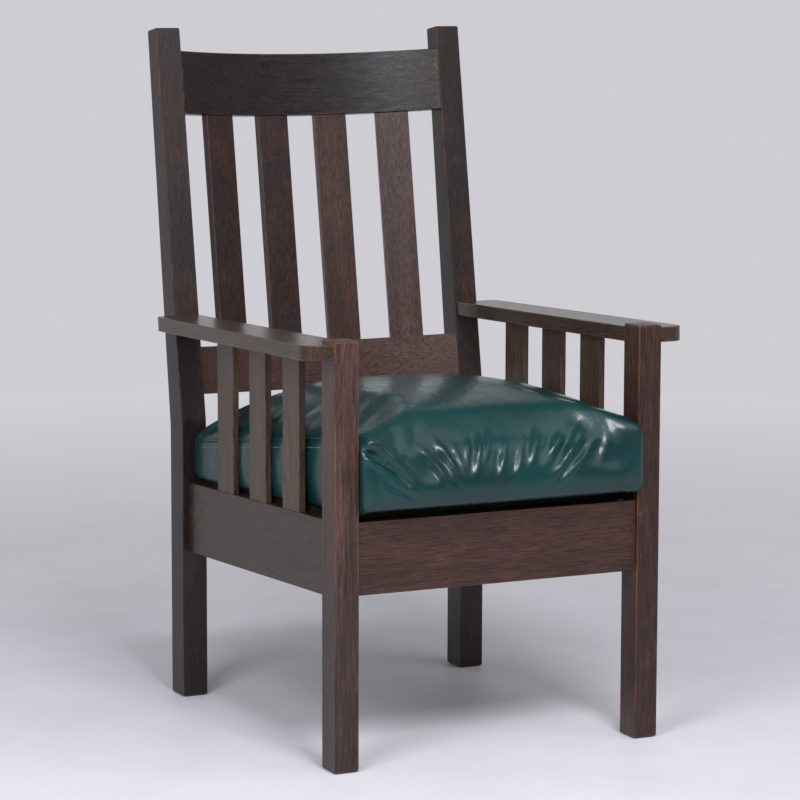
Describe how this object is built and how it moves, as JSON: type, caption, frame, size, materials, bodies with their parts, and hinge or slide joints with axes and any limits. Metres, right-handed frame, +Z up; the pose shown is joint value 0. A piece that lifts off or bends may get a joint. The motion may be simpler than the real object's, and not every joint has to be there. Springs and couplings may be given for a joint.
{
  "type": "slatted oak armchair",
  "caption": "High-backed oak armchair with a fixed raked and bowed slat back, slatted sides, flat arms and a loose crowned leather cushion on a slatted seat.",
  "frame": {"origin": "on the floor under the middle of the chair's overall box", "axes": "+Z up, the front of the chair towards -Y, +X towards the right as seen from in front"},
  "size_m": [0.6692, 0.7841, 1.1316],
  "materials": {
    "oak_posts": "satin",
    "oak_rails": "satin",
    "oak_arms": "satin",
    "oak_slats": "satin",
    "oak_back": "satin",
    "oak_pins": "satin",
    "oak_plain": "matte",
    "screw_steel": "satin",
    "cushion_leather": "gloss"
  },
  "bodies": {
    "frame": {"front_post_left": "oak_posts", "front_post_right": "oak_posts", "rear_post_left": "oak_posts", "rear_post_right": "oak_posts", "side_seat_rail_left": "oak_rails", "side_seat_rail_right": "oak_rails", "side_slat_1_left": "oak_slats", "side_slat_1_right": "oak_slats", "side_slat_2_left": "oak_slats", "side_slat_2_right": "oak_slats", "side_slat_3_left": "oak_slats", "side_slat_3_right": "oak_slats", "arm_left": "oak_arms", "arm_right": "oak_arms", "seat_cleat_left": "oak_plain", "seat_cleat_right": "oak_plain", "corner_block_front_left": "oak_plain", "corner_block_front_right": "oak_plain", "corner_block_rear_left": "oak_plain", "corner_block_rear_right": "oak_plain", "front_seat_rail": "oak_rails", "rear_seat_rail": "oak_rails", "crest_rail": "oak_back", "lower_back_rail": "oak_back", "back_slat_1": "oak_back", "back_slat_2": "oak_back", "back_slat_3": "oak_back", "back_slat_4": "oak_back", "seat_slat_1": "oak_plain", "seat_slat_2": "oak_plain", "seat_slat_3": "oak_plain", "seat_slat_4": "oak_plain", "seat_slat_5": "oak_plain", "seat_slat_6": "oak_plain", "rail_pins": "oak_pins", "cleat_screws": "screw_steel", "seat_slat_screws": "screw_steel", "corner_block_screws": "screw_steel"},
    "cushion": {"seat_cushion": "cushion_leather"}
  },
  "joints": [
    {"name": "cushion_lift", "type": "slide", "parent": "frame", "child": "cushion", "axis": [0, 0, 1], "range_m": [0, 0.1]}
  ]
}
